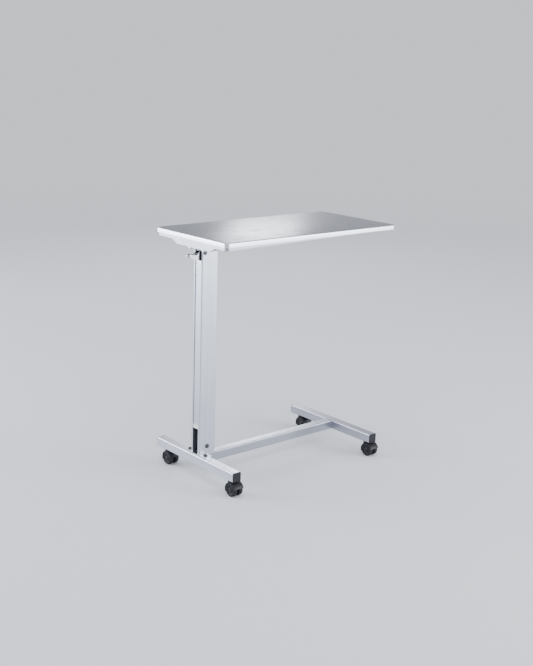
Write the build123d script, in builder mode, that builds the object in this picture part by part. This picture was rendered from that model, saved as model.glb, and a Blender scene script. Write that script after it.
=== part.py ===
from build123d import *
import os

# Overbed table on four twin-wheel casters, at its lowest setting. Millimetres, +Z up. The origin
# lies on the floor under the middle of the table: +X runs along the top towards its free end,
# and the column stands at the -X end. The front of the table faces -Y.

# Table top: a shallow stainless tray turned upside down
TOP_LENGTH = 800.0
TOP_WIDTH = 400.0
TOP_CORNER_R = 14.0
TOP_Z = 882.0
TOP_X = 7.0
RIM_DEPTH = 16.0
RIM_EDGE_R = 4.0
RIM_RETURN = 10.0
SHEET = 1.2

# Support under the top: a tapered pan and, below it, a tapered arm
PAN_SHEET = 1.5
PAN_INSET = 4.0
PAN_LENGTH = 616.0
PAN_CORNER_R = 12.0
PAN_DROP = 11.5
PAN_TIP_DROP = 1.0
PAN_TIP_FILL = 30.0
ARM_SHEET = 2.0
ARM_START = 14.0
ARM_LENGTH = 500.0
ARM_FLAT_LENGTH = 120.0
ARM_TOP_W = 256.0
ARM_BOTTOM_W = 184.0
ARM_DROP = 45.0
RIB_LENGTH = 730.0
RIB_WIDTH = 30.0
RIB_HEIGHT = 11.0
RIB_Y = 120.0

# Base: two feet along Y and a rail along X, all of one square tube
TUBE = 35.0
TUBE_WALL = 2.0
TUBE_CORNER_R = 4.0
FOOT_TOP_Z = 88.0
FOOT_LENGTH = 445.0
LEFT_FOOT_X = -345.0
RIGHT_FOOT_X = 320.0
CAP_HEAD = 3.0
CAP_EDGE_R = 2.1
CAP_PLUG = 14.0

# Telescopic column: a lipped channel, open towards -X, round a rectangular mast. Its lips are
# notched at the top to leave room for the release lever.
COLUMN_X = -322.0
COLUMN_L = 70.0
COLUMN_W = 48.0
COLUMN_WALL = 2.0
COLUMN_SLOT = 30.0
COLUMN_CORNER_R = 3.5
COLUMN_TOP_Z = 829.0
NOTCH_Z = 790.0
NOTCH_DEPTH = 4.0
SCREW_X = -344.0
SCREW_Z = 819.5
SCREW_D = 16.0
SCREW_HEAD_T = 3.0
SCREW_HEAD_R = 2.2
SCREW_SHANK_D = 5.0
SCREW_BITE = 1.6
PLATE_T = 6.0
PLATE_BOLT_Y = 45.0
PLATE_BAR_L = 124.0
PLATE_BAR_R = 8.0
PLATE_TONGUE_L = 84.0
PLATE_TONGUE_W = 51.0
PLATE_TONGUE_R = 3.0
PLATE_TONGUE_SHIFT = 4.0
MAST_L = 63.5
MAST_W = 40.0
MAST_BEHIND_LIPS = 0.5
MAST_WALL = 2.0
MAST_CORNER_R = 3.0
MAST_BOTTOM_Z = 203.0
HEAD_PLATE_T = 5.0
HEAD_PLATE_L = 92.0
HEAD_PLATE_W = 100.0
HEAD_PLATE_CORNER_R = 6.0
HEAD_BOLT_X = 38.0
HEAD_BOLT_Y = 38.0
GUIDE_PLAY = 0.10
GUIDE_NECK = 4.0
GUIDE_SPIGOT = 20.0
GUIDE_COLLAR_T = 1.5
KEY_L = 3.0
KEY_PLAY = 0.5
SPRING_ROOM = 1.0
LOWER_GUIDE_H = 13.0
UPPER_GUIDE_H = 60.0

# Locking gas spring, its rod up
SPRING_D = 22.0
SPRING_BORE_D = 18.0
SPRING_BOTTOM_Z = 395.0
SPRING_TOP_Z = 790.0
GLAND_T = 8.0
GLAND_EDGE_R = 1.5
ROD_D = 10.0
ROD_TOP_Z = 807.0
PISTON_Z = 404.0
PISTON_H = 12.0
PIN_D = 3.0
PIN_TOP_Z = 812.0
PIN_LENGTH = 32.0
PIN_ROOM = 5.0
PIN_TIP_R = 1.0
RUNNING = 0.05
CYLINDER_FLOOR = 6.0
CYLINDER_SPIGOT = 20.0
POST_WALL = 2.0
ANCHOR_Z = 119.0
BRACKET_Z = 795.0
BRACKET_T = 4.0
BRACKET_EAR = 16.0
BRACKET_L = 47.0
ROD_NUT_AF = 17.0
ROD_NUT_T = 6.0

# Release lever on a pin across the top of the mast
PIVOT_X = -341.0
PIVOT_Z = 822.0
PIVOT_D = 8.0
SPACER_D = 14.0
SPACER_GAP = 0.3
LEVER_W = 23.0
LEVER_SHEET = 2.0
LEVER_TIP_X = -407.0
SLOT_BOTTOM_Z = 792.5
SLOT_TOP_Z = 830.0
SLOT_W = 29.0
SLOT_CORNER_R = 2.0
BEZEL_T = 1.2
BEZEL_W = 36.0
BEZEL_LAP = 0.8
BEZEL_CORNER_R = 2.5
BEZEL_OPEN_W = 25.6
BEZEL_FRAME = 1.2
BEZEL_OPEN_R = 1.5
NOSE_GAP = 0.3
NOSE_T = 10.0
NOSE_REACH = 6.0
LEVER_CUT_L = 120.0

# Bolts, nuts and plates that they hold
BOLT_D = 8.0
BOLT_TAIL = 6.0
THREAD_END = 1.0
DOME_D = 17.0
DOME_T = 5.0
DOME_EDGE_R = 3.5
HEX_AF = 13.0
HEX_T = 5.5
NUT_DOME_T = 5.0
NUT_DOME_D = 12.0
NUT_DOME_EDGE_R = 4.5
NUT_PLATE_T = 4.0

# Casters: two wheels either side of a hood that swivels on a stem
STEM_INSET = 35.0
STEM_D = 8.0
TRAIL = 24.0
WHEEL_R = 24.0
WHEEL_IN = 4.2
WHEEL_OUT = 20.2
HOOD_R = 27.0
HOOD_SHEET = 2.0
HOOD_W = 41.0
HOOD_WEB = 6.6
HOOD_WEB_R = 26.5
AXLE_D = 6.0
AXLE_L = 33.0
SOCKET_D = 16.0
SOCKET_H = 24.0
SOCKET_FLANGE_T = 1.5
SOCKET_FLANGE_D = 20.0
STEM_Z = 36.0
STEM_H = 38.0
BOSS_Z = 29.0
BOSS_R = 8.0
HOOD_TOP_Z = 51.2
HUB_WEB_R = 8.0
FENDER_FROM = -25
FENDER_ARC = 190
TREAD_R = 3.0
DISH_R = 17.0
DISH_DEPTH = 2.0
HUB_R = 6.0
HUB_CHAMFER = 1.0
HUB_INSET = 0.5
AXLE_END = 17.0

# Worked out from the dimensions above
TOP_END_X = TOP_X - TOP_LENGTH / 2
RIM_Z = TOP_Z - RIM_DEPTH
PAN_START_X = TOP_END_X + PAN_INSET
PAN_END_X = PAN_START_X + PAN_LENGTH
ARM_START_X = TOP_END_X + ARM_START
ARM_Z = TOP_Z - ARM_DROP
HEAD_PLATE_Z = ARM_Z - HEAD_PLATE_T
FOOT_Z = FOOT_TOP_Z - TUBE / 2
FOOT_BOTTOM_Z = FOOT_TOP_Z - TUBE
PLATE_TOP_Z = FOOT_TOP_Z + PLATE_T
COLUMN_FACE_X = COLUMN_X - COLUMN_L / 2
MAST_FACE_X = COLUMN_FACE_X + COLUMN_WALL + MAST_BEHIND_LIPS
MAST_X = MAST_FACE_X + MAST_L / 2
STEM_Y = FOOT_LENGTH / 2 - STEM_INSET
PAN_HOLLOW_END_X = PAN_END_X - PAN_TIP_FILL
CHANNEL_L = COLUMN_L - 2 * COLUMN_WALL
CHANNEL_W = COLUMN_W - 2 * COLUMN_WALL
GUIDE_CORNER_R = COLUMN_CORNER_R - COLUMN_WALL
KEY_W = COLUMN_SLOT - 2 * KEY_PLAY
MAST_BORE_L = MAST_L - 2 * MAST_WALL
MAST_BORE_W = MAST_W - 2 * MAST_WALL
MAST_BORE_R = MAST_CORNER_R - MAST_WALL
BRACKET_X = MAST_X + (MAST_BORE_L - BRACKET_L) / 2
SLOT_Z = (SLOT_BOTTOM_Z + SLOT_TOP_Z) / 2
SLOT_H = SLOT_TOP_Z - SLOT_BOTTOM_Z
NOSE_Z = PIN_TOP_Z + NOSE_GAP
NOSE_START_X = COLUMN_X - NOSE_T / 2
NOSE_END_X = COLUMN_X + NOSE_REACH
CAP_PLUG_W = TUBE - 2 * TUBE_WALL
RAIL_START_X = LEFT_FOOT_X + TUBE / 2
RAIL_LENGTH = RIGHT_FOOT_X - LEFT_FOOT_X - TUBE
CASTERS = (
    ("left_front", LEFT_FOOT_X, -STEM_Y),
    ("left_back", LEFT_FOOT_X, STEM_Y),
    ("right_front", RIGHT_FOOT_X, -STEM_Y),
    ("right_back", RIGHT_FOOT_X, STEM_Y),
)

os.makedirs("parts", exist_ok=True)


def save(part, name):
    part.label = name
    export_step(part, f"parts/{name}.step")


def tube_profile(long_side, short_side, wall, corner):
    RectangleRounded(long_side, short_side, corner)
    RectangleRounded(long_side - 2 * wall, short_side - 2 * wall, corner - wall, mode=Mode.SUBTRACT)


# ---------------------------------------------------------------- table top and its support

with BuildPart() as tray_hollow:
    with BuildSketch(Plane.XY.offset(RIM_Z + SHEET)):
        with Locations((TOP_X, 0)):
            RectangleRounded(TOP_LENGTH - 2 * SHEET, TOP_WIDTH - 2 * SHEET, TOP_CORNER_R - SHEET)
    extrude(amount=RIM_DEPTH - 2 * SHEET)
    fillet(tray_hollow.faces().sort_by(Axis.Z)[-1].edges(), RIM_EDGE_R - SHEET)

with BuildPart() as table_top:
    with BuildSketch(Plane.XY.offset(RIM_Z)):
        with Locations((TOP_X, 0)):
            RectangleRounded(TOP_LENGTH, TOP_WIDTH, TOP_CORNER_R)
    extrude(amount=RIM_DEPTH)
    fillet(table_top.faces().sort_by(Axis.Z)[-1].edges(), RIM_EDGE_R)
    add(tray_hollow.part, mode=Mode.SUBTRACT)
    with BuildSketch(Plane.XY.offset(RIM_Z)):
        with Locations((TOP_X, 0)):
            RectangleRounded(
                TOP_LENGTH - 2 * RIM_RETURN, TOP_WIDTH - 2 * RIM_RETURN, TOP_CORNER_R - RIM_RETURN
            )
    extrude(amount=2 * SHEET, mode=Mode.SUBTRACT)
save(table_top.part, "table_top")


def pan_floor(x):
    """Height of the pan's outer floor at x."""
    return RIM_Z - PAN_DROP + (PAN_DROP - PAN_TIP_DROP) * (x - PAN_START_X) / PAN_LENGTH


def pan_form(gap, end_x):
    """A wedge under the rim, up to end_x, with its sides and floor moved in by gap."""
    start_x = PAN_START_X + gap
    with BuildPart() as form:
        with BuildSketch(Plane.XZ):
            with BuildLine():
                Polyline(
                    (start_x, RIM_Z),
                    (start_x, pan_floor(start_x) + gap),
                    (end_x, pan_floor(end_x) + gap),
                    (end_x, RIM_Z),
                    close=True,
                )
            make_face()
        extrude(amount=TOP_WIDTH / 2 - PAN_INSET - gap, both=True)
        fillet(form.edges().filter_by(Axis.Z).group_by(Axis.X)[0], PAN_CORNER_R - gap)
    return form.part


with BuildPart() as support_pan:
    add(pan_form(0, PAN_END_X))
    add(pan_form(PAN_SHEET, PAN_HOLLOW_END_X), mode=Mode.SUBTRACT)
save(support_pan.part, "support_pan")


def arm_form(gap):
    """The arm's folded section and sloping floor, with its sides and floor moved in by gap."""
    low_w = ARM_BOTTOM_W / 2 - gap
    high_w = ARM_TOP_W / 2 - gap
    flat_end_x = ARM_START_X + ARM_FLAT_LENGTH
    end_x = ARM_START_X + ARM_LENGTH
    end_z = pan_floor(end_x) - ARM_SHEET + gap
    with BuildPart() as form:
        with BuildSketch(Plane.YZ.offset(ARM_START_X + gap)):
            with BuildLine():
                Polyline(
                    (-high_w, RIM_Z),
                    (-high_w, RIM_Z - PAN_DROP),
                    (-low_w, ARM_Z + gap),
                    (low_w, ARM_Z + gap),
                    (high_w, RIM_Z - PAN_DROP),
                    (high_w, RIM_Z),
                    close=True,
                )
            make_face()
        extrude(amount=ARM_LENGTH - gap)
        with BuildSketch(Plane.XZ):
            with BuildLine():
                Polyline(
                    (flat_end_x, ARM_Z + gap),
                    (end_x, end_z),
                    (end_x, ARM_Z - ARM_DROP),
                    (flat_end_x, ARM_Z - ARM_DROP),
                    close=True,
                )
            make_face()
        extrude(amount=TOP_WIDTH / 2, both=True, mode=Mode.SUBTRACT)
    return form.part


def head_bolt_circles(mode=Mode.ADD):
    with Locations((COLUMN_X, 0)):
        with GridLocations(2 * HEAD_BOLT_X, 2 * HEAD_BOLT_Y, 2, 2):
            Circle(BOLT_D / 2, mode=mode)


with BuildPart() as support_arm:
    add(arm_form(0))
    add(arm_form(ARM_SHEET), mode=Mode.SUBTRACT)
    with BuildSketch(Plane.XZ):
        with BuildLine():
            Polyline(
                (PAN_START_X, pan_floor(PAN_START_X)),
                (PAN_END_X, pan_floor(PAN_END_X)),
                (PAN_END_X, TOP_Z),
                (PAN_START_X, TOP_Z),
                close=True,
            )
        make_face()
    extrude(amount=TOP_WIDTH / 2, both=True, mode=Mode.SUBTRACT)
    with BuildSketch(Plane.XY.offset(ARM_Z)):
        head_bolt_circles()
    extrude(amount=ARM_SHEET, mode=Mode.SUBTRACT)
save(support_arm.part, "support_arm")

for side, rib_y in (("front", -RIB_Y), ("back", RIB_Y)):
    with BuildPart() as rib:
        with BuildSketch(Plane.YZ.offset(TOP_X - RIB_LENGTH / 2)):
            with Locations((rib_y, TOP_Z - SHEET - RIB_HEIGHT / 2)):
                Rectangle(RIB_WIDTH, RIB_HEIGHT)
            with Locations((rib_y, TOP_Z - SHEET - RIB_HEIGHT / 2 + SHEET)):
                Rectangle(RIB_WIDTH - 2 * SHEET, RIB_HEIGHT, mode=Mode.SUBTRACT)
        extrude(amount=RIB_LENGTH)
    save(rib.part, f"stiffener_rib_{side}")

for name, plate_z, plate_t in (
    ("head_plate", HEAD_PLATE_Z, HEAD_PLATE_T),
    ("arm_nut_plate", ARM_Z + ARM_SHEET, NUT_PLATE_T),
):
    with BuildPart() as plate:
        with BuildSketch(Plane.XY.offset(plate_z)):
            with Locations((COLUMN_X, 0)):
                RectangleRounded(HEAD_PLATE_L, HEAD_PLATE_W, HEAD_PLATE_CORNER_R)
            head_bolt_circles(Mode.SUBTRACT)
        extrude(amount=plate_t)
    save(plate.part, name)

with BuildPart() as head_bolts:
    with BuildSketch(Plane.XY.offset(HEAD_PLATE_Z)):
        with Locations((COLUMN_X, 0)):
            with GridLocations(2 * HEAD_BOLT_X, 2 * HEAD_BOLT_Y, 2, 2):
                RegularPolygon(HEX_AF / 2, 6, major_radius=False)
    extrude(amount=-HEX_T)
    with BuildSketch(Plane.XY.offset(HEAD_PLATE_Z)):
        head_bolt_circles()
    extrude(amount=HEAD_PLATE_T + ARM_SHEET + NUT_PLATE_T + THREAD_END)
save(head_bolts.part, "head_bolts")

# ---------------------------------------------------------------- mast

with BuildPart() as mast_tube:
    with BuildSketch(Plane.XY.offset(MAST_BOTTOM_Z)):
        with Locations((MAST_X, 0)):
            tube_profile(MAST_L, MAST_W, MAST_WALL, MAST_CORNER_R)
    extrude(amount=HEAD_PLATE_Z - MAST_BOTTOM_Z)
    with BuildSketch(Plane.YZ.offset(MAST_FACE_X)):
        with Locations((0, SLOT_Z)):
            RectangleRounded(SLOT_W, SLOT_H, SLOT_CORNER_R)
    extrude(amount=MAST_WALL, mode=Mode.SUBTRACT)
    with BuildSketch(Plane.XZ):
        with Locations((PIVOT_X, PIVOT_Z)):
            Circle(PIVOT_D / 2)
    extrude(amount=MAST_W, both=True, mode=Mode.SUBTRACT)
save(mast_tube.part, "mast_tube")

with BuildPart() as lower_guide:
    with BuildSketch(Plane.XY.offset(MAST_BOTTOM_Z - GUIDE_NECK - LOWER_GUIDE_H)):
        with Locations((COLUMN_X, 0)):
            RectangleRounded(CHANNEL_L - 2 * GUIDE_PLAY, CHANNEL_W - 2 * GUIDE_PLAY, GUIDE_CORNER_R)
        with Locations((COLUMN_FACE_X + COLUMN_WALL, 0)):
            Rectangle(KEY_L, KEY_W)
    extrude(amount=LOWER_GUIDE_H)
    with BuildSketch(Plane.XY.offset(MAST_BOTTOM_Z - GUIDE_NECK)):
        with Locations((MAST_X, 0)):
            RectangleRounded(MAST_BORE_L - GUIDE_PLAY, MAST_BORE_W - GUIDE_PLAY, MAST_BORE_R)
    extrude(amount=GUIDE_NECK + GUIDE_SPIGOT)
    with BuildSketch(Plane.XY.offset(MAST_BOTTOM_Z - GUIDE_NECK - LOWER_GUIDE_H)):
        with Locations((COLUMN_X, 0)):
            Circle(SPRING_D / 2 + SPRING_ROOM)
    extrude(amount=LOWER_GUIDE_H + GUIDE_NECK + GUIDE_SPIGOT, mode=Mode.SUBTRACT)
save(lower_guide.part, "lower_guide")

with BuildPart() as spring_bracket:
    with BuildSketch(Plane.XY.offset(BRACKET_Z)):
        with Locations((BRACKET_X, 0)):
            RectangleRounded(BRACKET_L, MAST_BORE_W, MAST_BORE_R)
        with Locations((COLUMN_X, 0)):
            Circle(ROD_D / 2, mode=Mode.SUBTRACT)
    extrude(amount=BRACKET_T)
    # ears turned down along the mast's side walls
    with BuildSketch(Plane.XY.offset(BRACKET_Z)):
        with Locations((BRACKET_X, 0)):
            with GridLocations(0, MAST_BORE_W - BRACKET_T, 1, 2):
                Rectangle(BRACKET_L - 2 * MAST_BORE_R, BRACKET_T)
    extrude(amount=-BRACKET_EAR)
save(spring_bracket.part, "spring_bracket")

with BuildPart() as lever_bezel:
    with BuildSketch(Plane.YZ.offset(MAST_FACE_X + MAST_WALL)):
        with Locations((0, SLOT_Z)):
            RectangleRounded(SLOT_W, SLOT_H, SLOT_CORNER_R)
    extrude(amount=-MAST_WALL)
    with BuildSketch(Plane.YZ.offset(MAST_FACE_X)):
        with Locations((0, SLOT_Z)):
            RectangleRounded(BEZEL_W, SLOT_H + 2 * BEZEL_LAP, BEZEL_CORNER_R)
    extrude(amount=-BEZEL_T)
    with BuildSketch(Plane.YZ.offset(MAST_FACE_X - BEZEL_T)):
        with Locations((0, SLOT_Z)):
            RectangleRounded(BEZEL_OPEN_W, SLOT_H - 2 * BEZEL_FRAME, BEZEL_OPEN_R)
    extrude(amount=MAST_WALL + BEZEL_T, mode=Mode.SUBTRACT)
save(lever_bezel.part, "lever_bezel")


def dome_bolt(bolt_x, bolt_z, half_grip):
    """A bolt along Y through a grip centred on y 0, with its dome head at the front."""
    with BuildPart() as bolt:
        with BuildSketch(Plane.XZ.offset(half_grip)):
            with Locations((bolt_x, bolt_z)):
                Circle(DOME_D / 2)
        extrude(amount=DOME_T)
        fillet(bolt.faces().sort_by(Axis.Y)[0].edges(), DOME_EDGE_R)
        with BuildSketch(Plane.XZ.offset(half_grip)):
            with Locations((bolt_x, bolt_z)):
                Circle(BOLT_D / 2)
        extrude(amount=-(2 * half_grip + BOLT_TAIL))
    return bolt.part


def dome_nut(nut_x, nut_z, half_grip):
    """The dome nut behind such a bolt."""
    with BuildPart() as nut:
        with BuildSketch(Plane.XZ.offset(-half_grip)):
            with Locations((nut_x, nut_z)):
                RegularPolygon(HEX_AF / 2, 6, major_radius=False)
        extrude(amount=-HEX_T)
        with BuildSketch(Plane.XZ.offset(-half_grip - HEX_T)):
            with Locations((nut_x, nut_z)):
                Circle(NUT_DOME_D / 2)
        extrude(amount=-NUT_DOME_T)
        fillet(nut.faces().sort_by(Axis.Y)[-1].edges(), NUT_DOME_EDGE_R)
        with BuildSketch(Plane.XZ.offset(-half_grip)):
            with Locations((nut_x, nut_z)):
                Circle(BOLT_D / 2)
        extrude(amount=-BOLT_TAIL, mode=Mode.SUBTRACT)
    return nut.part


with BuildPart() as pivot_pin:
    with BuildSketch(Plane.XZ):
        with Locations((PIVOT_X, PIVOT_Z)):
            Circle(PIVOT_D / 2)
    extrude(amount=MAST_W / 2, both=True)
save(pivot_pin.part, "pivot_pin")

# a ring each side of the lever, out to the mast's walls
with BuildPart() as pivot_spacers:
    with BuildSketch(Plane.XZ):
        with Locations((PIVOT_X, PIVOT_Z)):
            Circle(SPACER_D / 2)
            Circle(PIVOT_D / 2, mode=Mode.SUBTRACT)
    extrude(amount=MAST_BORE_W / 2, both=True)
    with BuildSketch(Plane.XZ):
        with Locations((PIVOT_X, PIVOT_Z)):
            Circle(SPACER_D)
    extrude(amount=LEVER_W / 2 + SPACER_GAP, both=True, mode=Mode.SUBTRACT)
save(pivot_spacers.part, "pivot_spacers")

# ---------------------------------------------------------------- release lever

# Both side flanges share this outline: the nose over the release pin, the hub round the pivot,
# the shoulder that fills the slot, the paddle and its tip.
LEVER_OUTLINE = (
    (NOSE_END_X, NOSE_Z),
    (NOSE_END_X, NOSE_Z + 7.5),
    (PIVOT_X + 6, PIVOT_Z + 7.5),
    (PIVOT_X - 8, PIVOT_Z + 7),
    (MAST_FACE_X - 2, PIVOT_Z + 2),
    (MAST_FACE_X - 15, PIVOT_Z - 10.5),
    (LEVER_TIP_X + 7, PIVOT_Z - 6.5),
    (LEVER_TIP_X, PIVOT_Z - 9.5),
    (LEVER_TIP_X, PIVOT_Z - 16.5),
    (MAST_FACE_X - 6, PIVOT_Z - 29),
    (MAST_FACE_X + 8, PIVOT_Z - 26),
    (PIVOT_X + 3, NOSE_Z),
)
# The room between the flanges, open at the top and closed by the web below
LEVER_ROOM = (
    (NOSE_START_X, PIVOT_Z + 12),
    (NOSE_START_X, NOSE_Z - 6),
    (PIVOT_X + 1, NOSE_Z),
    (MAST_FACE_X + 6.5, PIVOT_Z - 23.8),
    (MAST_FACE_X - 6, PIVOT_Z - 26.8),
    (LEVER_TIP_X + LEVER_SHEET, PIVOT_Z - 14.4),
    (LEVER_TIP_X + LEVER_SHEET, PIVOT_Z + 12),
)


def lever_form(outline, width, tip_x):
    """The outline along the lever, as wide as width, with a half-round end at tip_x."""
    with BuildPart() as form:
        with BuildSketch(Plane.XZ):
            with BuildLine():
                Polyline(*outline, close=True)
            make_face()
        extrude(amount=width / 2, both=True)
        with BuildSketch(Plane.XY.offset(PIVOT_Z)):
            with Locations((tip_x + LEVER_CUT_L / 2, 0)):
                SlotOverall(LEVER_CUT_L, width)
        extrude(amount=LEVER_CUT_L / 2, both=True, mode=Mode.INTERSECT)
    return form.part


with BuildPart() as release_lever:
    add(lever_form(LEVER_OUTLINE, LEVER_W, LEVER_TIP_X))
    add(
        lever_form(LEVER_ROOM, LEVER_W - 2 * LEVER_SHEET, LEVER_TIP_X + LEVER_SHEET),
        mode=Mode.SUBTRACT,
    )
    with BuildSketch(Plane.XZ):
        with Locations((PIVOT_X, PIVOT_Z)):
            Circle(PIVOT_D / 2 + RUNNING)
    extrude(amount=LEVER_W, both=True, mode=Mode.SUBTRACT)
save(release_lever.part, "release_lever")

# ---------------------------------------------------------------- gas spring

with BuildPart() as spring_rod:
    with BuildSketch(Plane.XY.offset(PISTON_Z)):
        with Locations((COLUMN_X, 0)):
            Circle(ROD_D / 2)
    extrude(amount=ROD_TOP_Z - PISTON_Z)
    with BuildSketch(Plane.XY.offset(PISTON_Z)):
        with Locations((COLUMN_X, 0)):
            Circle(SPRING_BORE_D / 2 - RUNNING)
    extrude(amount=PISTON_H)
    with BuildSketch(Plane.XY.offset(PIN_TOP_Z - PIN_LENGTH - PIN_ROOM)):
        with Locations((COLUMN_X, 0)):
            Circle(PIN_D / 2 + RUNNING)
    extrude(amount=PIN_LENGTH + PIN_ROOM, mode=Mode.SUBTRACT)
save(spring_rod.part, "spring_rod")

with BuildPart() as release_pin:
    with BuildSketch(Plane.XY.offset(PIN_TOP_Z - PIN_LENGTH)):
        with Locations((COLUMN_X, 0)):
            Circle(PIN_D / 2)
    extrude(amount=PIN_LENGTH)
    fillet(release_pin.faces().sort_by(Axis.Z)[-1].edges(), PIN_TIP_R)
save(release_pin.part, "release_pin")

with BuildPart() as rod_nut:
    with BuildSketch(Plane.XY.offset(BRACKET_Z + BRACKET_T)):
        with Locations((COLUMN_X, 0)):
            RegularPolygon(ROD_NUT_AF / 2, 6, major_radius=False)
            Circle(ROD_D / 2, mode=Mode.SUBTRACT)
    extrude(amount=ROD_NUT_T)
save(rod_nut.part, "rod_nut")

with BuildPart() as spring_cylinder:
    with BuildSketch(Plane.XY.offset(SPRING_BOTTOM_Z)):
        with Locations((COLUMN_X, 0)):
            Circle(SPRING_D / 2)
    extrude(amount=SPRING_TOP_Z - GLAND_T - SPRING_BOTTOM_Z)
    with BuildSketch(Plane.XY.offset(SPRING_BOTTOM_Z + CYLINDER_FLOOR)):
        with Locations((COLUMN_X, 0)):
            Circle(SPRING_BORE_D / 2)
    extrude(amount=SPRING_TOP_Z, mode=Mode.SUBTRACT)
    with BuildSketch(Plane.XY.offset(SPRING_BOTTOM_Z)):
        with Locations((COLUMN_X, 0)):
            Circle(SPRING_D / 2 - POST_WALL)
    extrude(amount=-CYLINDER_SPIGOT)
save(spring_cylinder.part, "spring_cylinder")

with BuildPart() as spring_gland:
    with BuildSketch(Plane.XY.offset(SPRING_TOP_Z - GLAND_T)):
        with Locations((COLUMN_X, 0)):
            Circle(SPRING_D / 2)
            Circle(ROD_D / 2 + RUNNING, mode=Mode.SUBTRACT)
    extrude(amount=GLAND_T)
    fillet(spring_gland.faces().sort_by(Axis.Z)[-1].outer_wire().edges(), GLAND_EDGE_R)
save(spring_gland.part, "spring_gland")

with BuildPart() as spring_post:
    with BuildSketch(Plane.XY.offset(PLATE_TOP_Z)):
        with Locations((COLUMN_X, 0)):
            Circle(SPRING_D / 2)
            Circle(SPRING_D / 2 - POST_WALL, mode=Mode.SUBTRACT)
    extrude(amount=SPRING_BOTTOM_Z - PLATE_TOP_Z)
    with BuildSketch(Plane.XZ):
        with Locations((COLUMN_X, ANCHOR_Z)):
            Circle(BOLT_D / 2)
    extrude(amount=SPRING_D, both=True, mode=Mode.SUBTRACT)
save(spring_post.part, "spring_post")

# ---------------------------------------------------------------- column

with BuildPart() as outer_column:
    with BuildSketch(Plane.XY.offset(PLATE_TOP_Z)):
        with Locations((COLUMN_X, 0)):
            tube_profile(COLUMN_L, COLUMN_W, COLUMN_WALL, COLUMN_CORNER_R)
        with Locations((COLUMN_FACE_X, 0)):
            Rectangle(4 * COLUMN_WALL, COLUMN_SLOT, mode=Mode.SUBTRACT)
    extrude(amount=COLUMN_TOP_Z - PLATE_TOP_Z)
    with BuildSketch(Plane.XZ):
        with Locations((COLUMN_X, ANCHOR_Z)):
            Circle(BOLT_D / 2)
        with Locations((SCREW_X, SCREW_Z)):
            Circle(SCREW_SHANK_D / 2)
    extrude(amount=COLUMN_W, both=True, mode=Mode.SUBTRACT)
    with BuildSketch(Plane.XY.offset(NOTCH_Z)):
        with Locations((COLUMN_FACE_X, 0)):
            Rectangle(2 * NOTCH_DEPTH, COLUMN_W)
    extrude(amount=COLUMN_TOP_Z - NOTCH_Z, mode=Mode.SUBTRACT)
save(outer_column.part, "outer_column")

# a U round the mast, with a collar over the column's top
with BuildPart() as upper_guide:
    with BuildSketch(Plane.XY.offset(COLUMN_TOP_Z - UPPER_GUIDE_H)):
        with Locations((COLUMN_X, 0)):
            RectangleRounded(CHANNEL_L, CHANNEL_W, GUIDE_CORNER_R)
    extrude(amount=UPPER_GUIDE_H)
    with BuildSketch(Plane.XY.offset(COLUMN_TOP_Z)):
        with Locations((COLUMN_X, 0)):
            RectangleRounded(COLUMN_L, COLUMN_W, COLUMN_CORNER_R)
    extrude(amount=GUIDE_COLLAR_T)
    with BuildSketch(Plane.XY.offset(COLUMN_TOP_Z - UPPER_GUIDE_H)):
        with Locations((MAST_X, 0)):
            RectangleRounded(
                MAST_L + 2 * GUIDE_PLAY, MAST_W + 2 * GUIDE_PLAY, MAST_CORNER_R + GUIDE_PLAY
            )
        with Locations((COLUMN_FACE_X, 0)):
            Rectangle(2 * NOTCH_DEPTH, COLUMN_W)
    extrude(amount=UPPER_GUIDE_H + GUIDE_COLLAR_T, mode=Mode.SUBTRACT)
    with BuildSketch(Plane.XZ):
        with Locations((SCREW_X, SCREW_Z)):
            Circle(SCREW_SHANK_D / 2)
    extrude(amount=COLUMN_W, both=True, mode=Mode.SUBTRACT)
save(upper_guide.part, "upper_guide")

# screws that hold the guide, through the column's front and back walls
with BuildPart() as guide_screws:
    for facing in (-1, 1):
        with BuildSketch(Plane.XZ.offset(-facing * COLUMN_W / 2)):
            with Locations((SCREW_X, SCREW_Z)):
                Circle(SCREW_D / 2)
        extrude(amount=-facing * SCREW_HEAD_T)
        fillet(guide_screws.faces().sort_by(Axis.Y)[-1 if facing > 0 else 0].edges(), SCREW_HEAD_R)
        with BuildSketch(Plane.XZ.offset(-facing * COLUMN_W / 2)):
            with Locations((SCREW_X, SCREW_Z)):
                Circle(SCREW_SHANK_D / 2)
        extrude(amount=facing * (COLUMN_WALL + SCREW_BITE))
save(guide_screws.part, "guide_screws")

save(dome_bolt(COLUMN_X, ANCHOR_Z, COLUMN_W / 2), "anchor_bolt")
save(dome_nut(COLUMN_X, ANCHOR_Z, COLUMN_W / 2), "anchor_nut")

with BuildPart() as column_foot_plate:
    with BuildSketch(Plane.XY.offset(FOOT_TOP_Z)):
        with Locations((COLUMN_X + PLATE_TONGUE_SHIFT, 0)):
            RectangleRounded(PLATE_TONGUE_L, PLATE_TONGUE_W, PLATE_TONGUE_R)
        with Locations((LEFT_FOOT_X, 0)):
            RectangleRounded(TUBE, PLATE_BAR_L, PLATE_BAR_R)
        with Locations((LEFT_FOOT_X, 0)):
            with GridLocations(0, 2 * PLATE_BOLT_Y, 1, 2):
                Circle(BOLT_D / 2, mode=Mode.SUBTRACT)
    extrude(amount=PLATE_T)
save(column_foot_plate.part, "column_foot_plate")

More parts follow.
